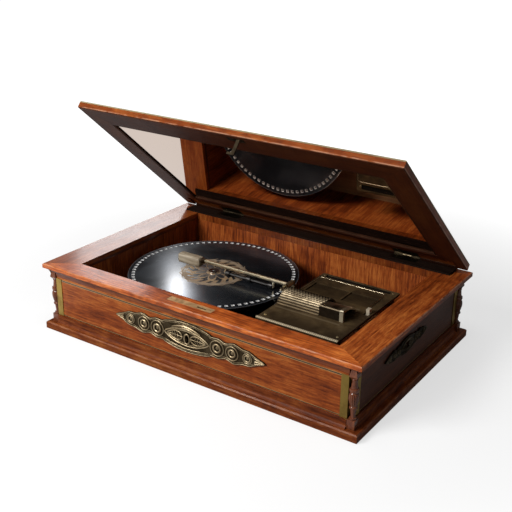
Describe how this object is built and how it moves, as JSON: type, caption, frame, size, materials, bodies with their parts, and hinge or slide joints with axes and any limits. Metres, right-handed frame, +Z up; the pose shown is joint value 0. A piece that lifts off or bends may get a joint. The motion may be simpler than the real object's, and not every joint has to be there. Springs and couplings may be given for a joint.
{
  "type": "disc music box",
  "caption": "Table-top disc music box: wooden case with an open mirrored lid, turning tune disc, pressure bar, comb, star wheels and a key-wound spring motor.",
  "frame": {"origin": "middle of the case's underside, on the surface that it stands on", "axes": "+X to the right along the case's length, seen from the front; +Y to the back, where the lid is hinged; +Z up"},
  "size_m": [0.622, 0.4068, 0.3871],
  "materials": {
    "mahogany": "gloss",
    "pine": "matte",
    "dark_wood": "satin",
    "brass": "satin",
    "bronze": "satin",
    "steel": "satin",
    "blued_steel": "gloss",
    "iron": "matte",
    "mirror": "polished",
    "pale_wood": "satin"
  },
  "bodies": {
    "case": {"plinth": "mahogany", "front_wall": "mahogany", "rear_wall": "mahogany", "left_wall": "mahogany", "right_wall": "mahogany", "well_lining": "mahogany", "rim_front": "mahogany", "rim_rear": "mahogany", "rim_left": "mahogany", "rim_right": "mahogany", "column_front_left": "mahogany", "column_front_right": "mahogany", "column_rear_left": "mahogany", "column_rear_right": "mahogany", "bottom_board": "pine", "hinge_batten": "dark_wood", "corner_brass_front_left": "brass", "corner_brass_front_right": "brass", "corner_brass_rear_left": "brass", "corner_brass_rear_right": "brass", "lock_plate": "brass", "hinge_fixed_leaf_left": "brass", "hinge_fixed_leaf_right": "brass", "bar_pin": "brass", "barrel_cover": "brass", "front_escutcheon": "bronze", "side_escutcheon": "bronze", "bar_bracket": "bronze", "motor_plate": "bronze", "arbor_housing": "bronze", "spindle": "steel", "star_wheel_bridge": "steel", "comb": "steel", "motor_frame_left": "steel", "motor_frame_right": "steel", "bedplate": "iron", "comb_base": "iron", "lock_case": "iron"},
    "lid": {"lid_frame": "mahogany", "lid_panel": "mahogany", "lid_mirror": "mirror", "lid_edge_bead": "pale_wood", "lid_catch": "brass", "hinge_moving_leaf_left": "brass", "hinge_moving_leaf_right": "brass"},
    "lock_bolt": {"lock_bolt": "brass"},
    "disc": {"disc": "blued_steel", "disc_hub": "steel"},
    "sprocket": {"drive_sprocket": "steel"},
    "bar": {"pressure_bar": "brass", "bar_handle": "pale_wood"},
    "rollers": {"bar_rollers": "steel"},
    "stars": {"star_wheels": "brass"},
    "barrel": {"spring_barrel": "brass", "mainspring": "blued_steel"},
    "arbor": {"winding_arbor": "steel"},
    "click": {"click": "steel"},
    "second_shaft": {"second_shaft": "steel"},
    "governor": {"governor": "steel"},
    "lever": {"start_lever": "brass"}
  },
  "joints": [
    {"name": "lid_hinge", "type": "hinge", "parent": "case", "child": "lid", "pos_m": [0, 0.1989, 0.12565], "axis": [-1, 0, 0], "range_deg": [-40.57, 59.4]},
    {"name": "lock_bolt_slide", "type": "slide", "parent": "case", "child": "lock_bolt", "axis": [1, 0, 0], "range_m": [0, 0.008]},
    {"name": "disc_turn", "type": "hinge", "parent": "case", "child": "disc", "pos_m": [-0.092, 0, 0.0911], "axis": [0, 0, 1], "continuous": true},
    {"name": "sprocket_turn", "type": "hinge", "parent": "case", "child": "sprocket", "pos_m": [0.051, 0, 0.066], "axis": [1, 0, 0], "continuous": true},
    {"name": "bar_lift", "type": "hinge", "parent": "case", "child": "bar", "pos_m": [0.066, 0, 0.108], "axis": [0, 1, 0], "range_deg": [0, 42]},
    {"name": "rollers_turn", "type": "hinge", "parent": "bar", "child": "rollers", "pos_m": [-0.015, 0, 0.097], "axis": [1, 0, 0], "continuous": true},
    {"name": "star_wheels_turn", "type": "hinge", "parent": "case", "child": "stars", "pos_m": [-0.011, 0, 0.084], "axis": [1, 0, 0], "continuous": true},
    {"name": "barrel_turn", "type": "hinge", "parent": "case", "child": "barrel", "pos_m": [0.082, -0.018, 0.074], "axis": [1, 0, 0], "continuous": true},
    {"name": "arbor_turn", "type": "hinge", "parent": "case", "child": "arbor", "pos_m": [0.2, -0.018, 0.074], "axis": [1, 0, 0], "continuous": true},
    {"name": "click_lift", "type": "hinge", "parent": "case", "child": "click", "pos_m": [0.1531, -0.00203, 0.06196], "axis": [-1, 0, 0], "range_deg": [-4, 16], "stiffness_Nm_per_rad": 0.02, "springref_deg": -5.73},
    {"name": "second_shaft_turn", "type": "hinge", "parent": "case", "child": "second_shaft", "pos_m": [0.077, -0.0066, 0.03828], "axis": [1, 0, 0], "continuous": true},
    {"name": "governor_turn", "type": "hinge", "parent": "case", "child": "governor", "pos_m": [0.1375, 0.0178, 0.03828], "axis": [0, 0, 1], "continuous": true},
    {"name": "start_lever_swing", "type": "hinge", "parent": "case", "child": "lever", "pos_m": [0.178, 0.01, 0.086], "axis": [0, 0, 1], "range_deg": [-8, 8]}
  ],
  "couplings": [
    {"joint": "sprocket_turn", "follows": "disc_turn", "ratio": -5.7143},
    {"joint": "second_shaft_turn", "follows": "disc_turn", "ratio": 2.6374},
    {"joint": "barrel_turn", "follows": "disc_turn", "ratio": -0.65934},
    {"joint": "governor_turn", "follows": "disc_turn", "ratio": -73.846}
  ]
}
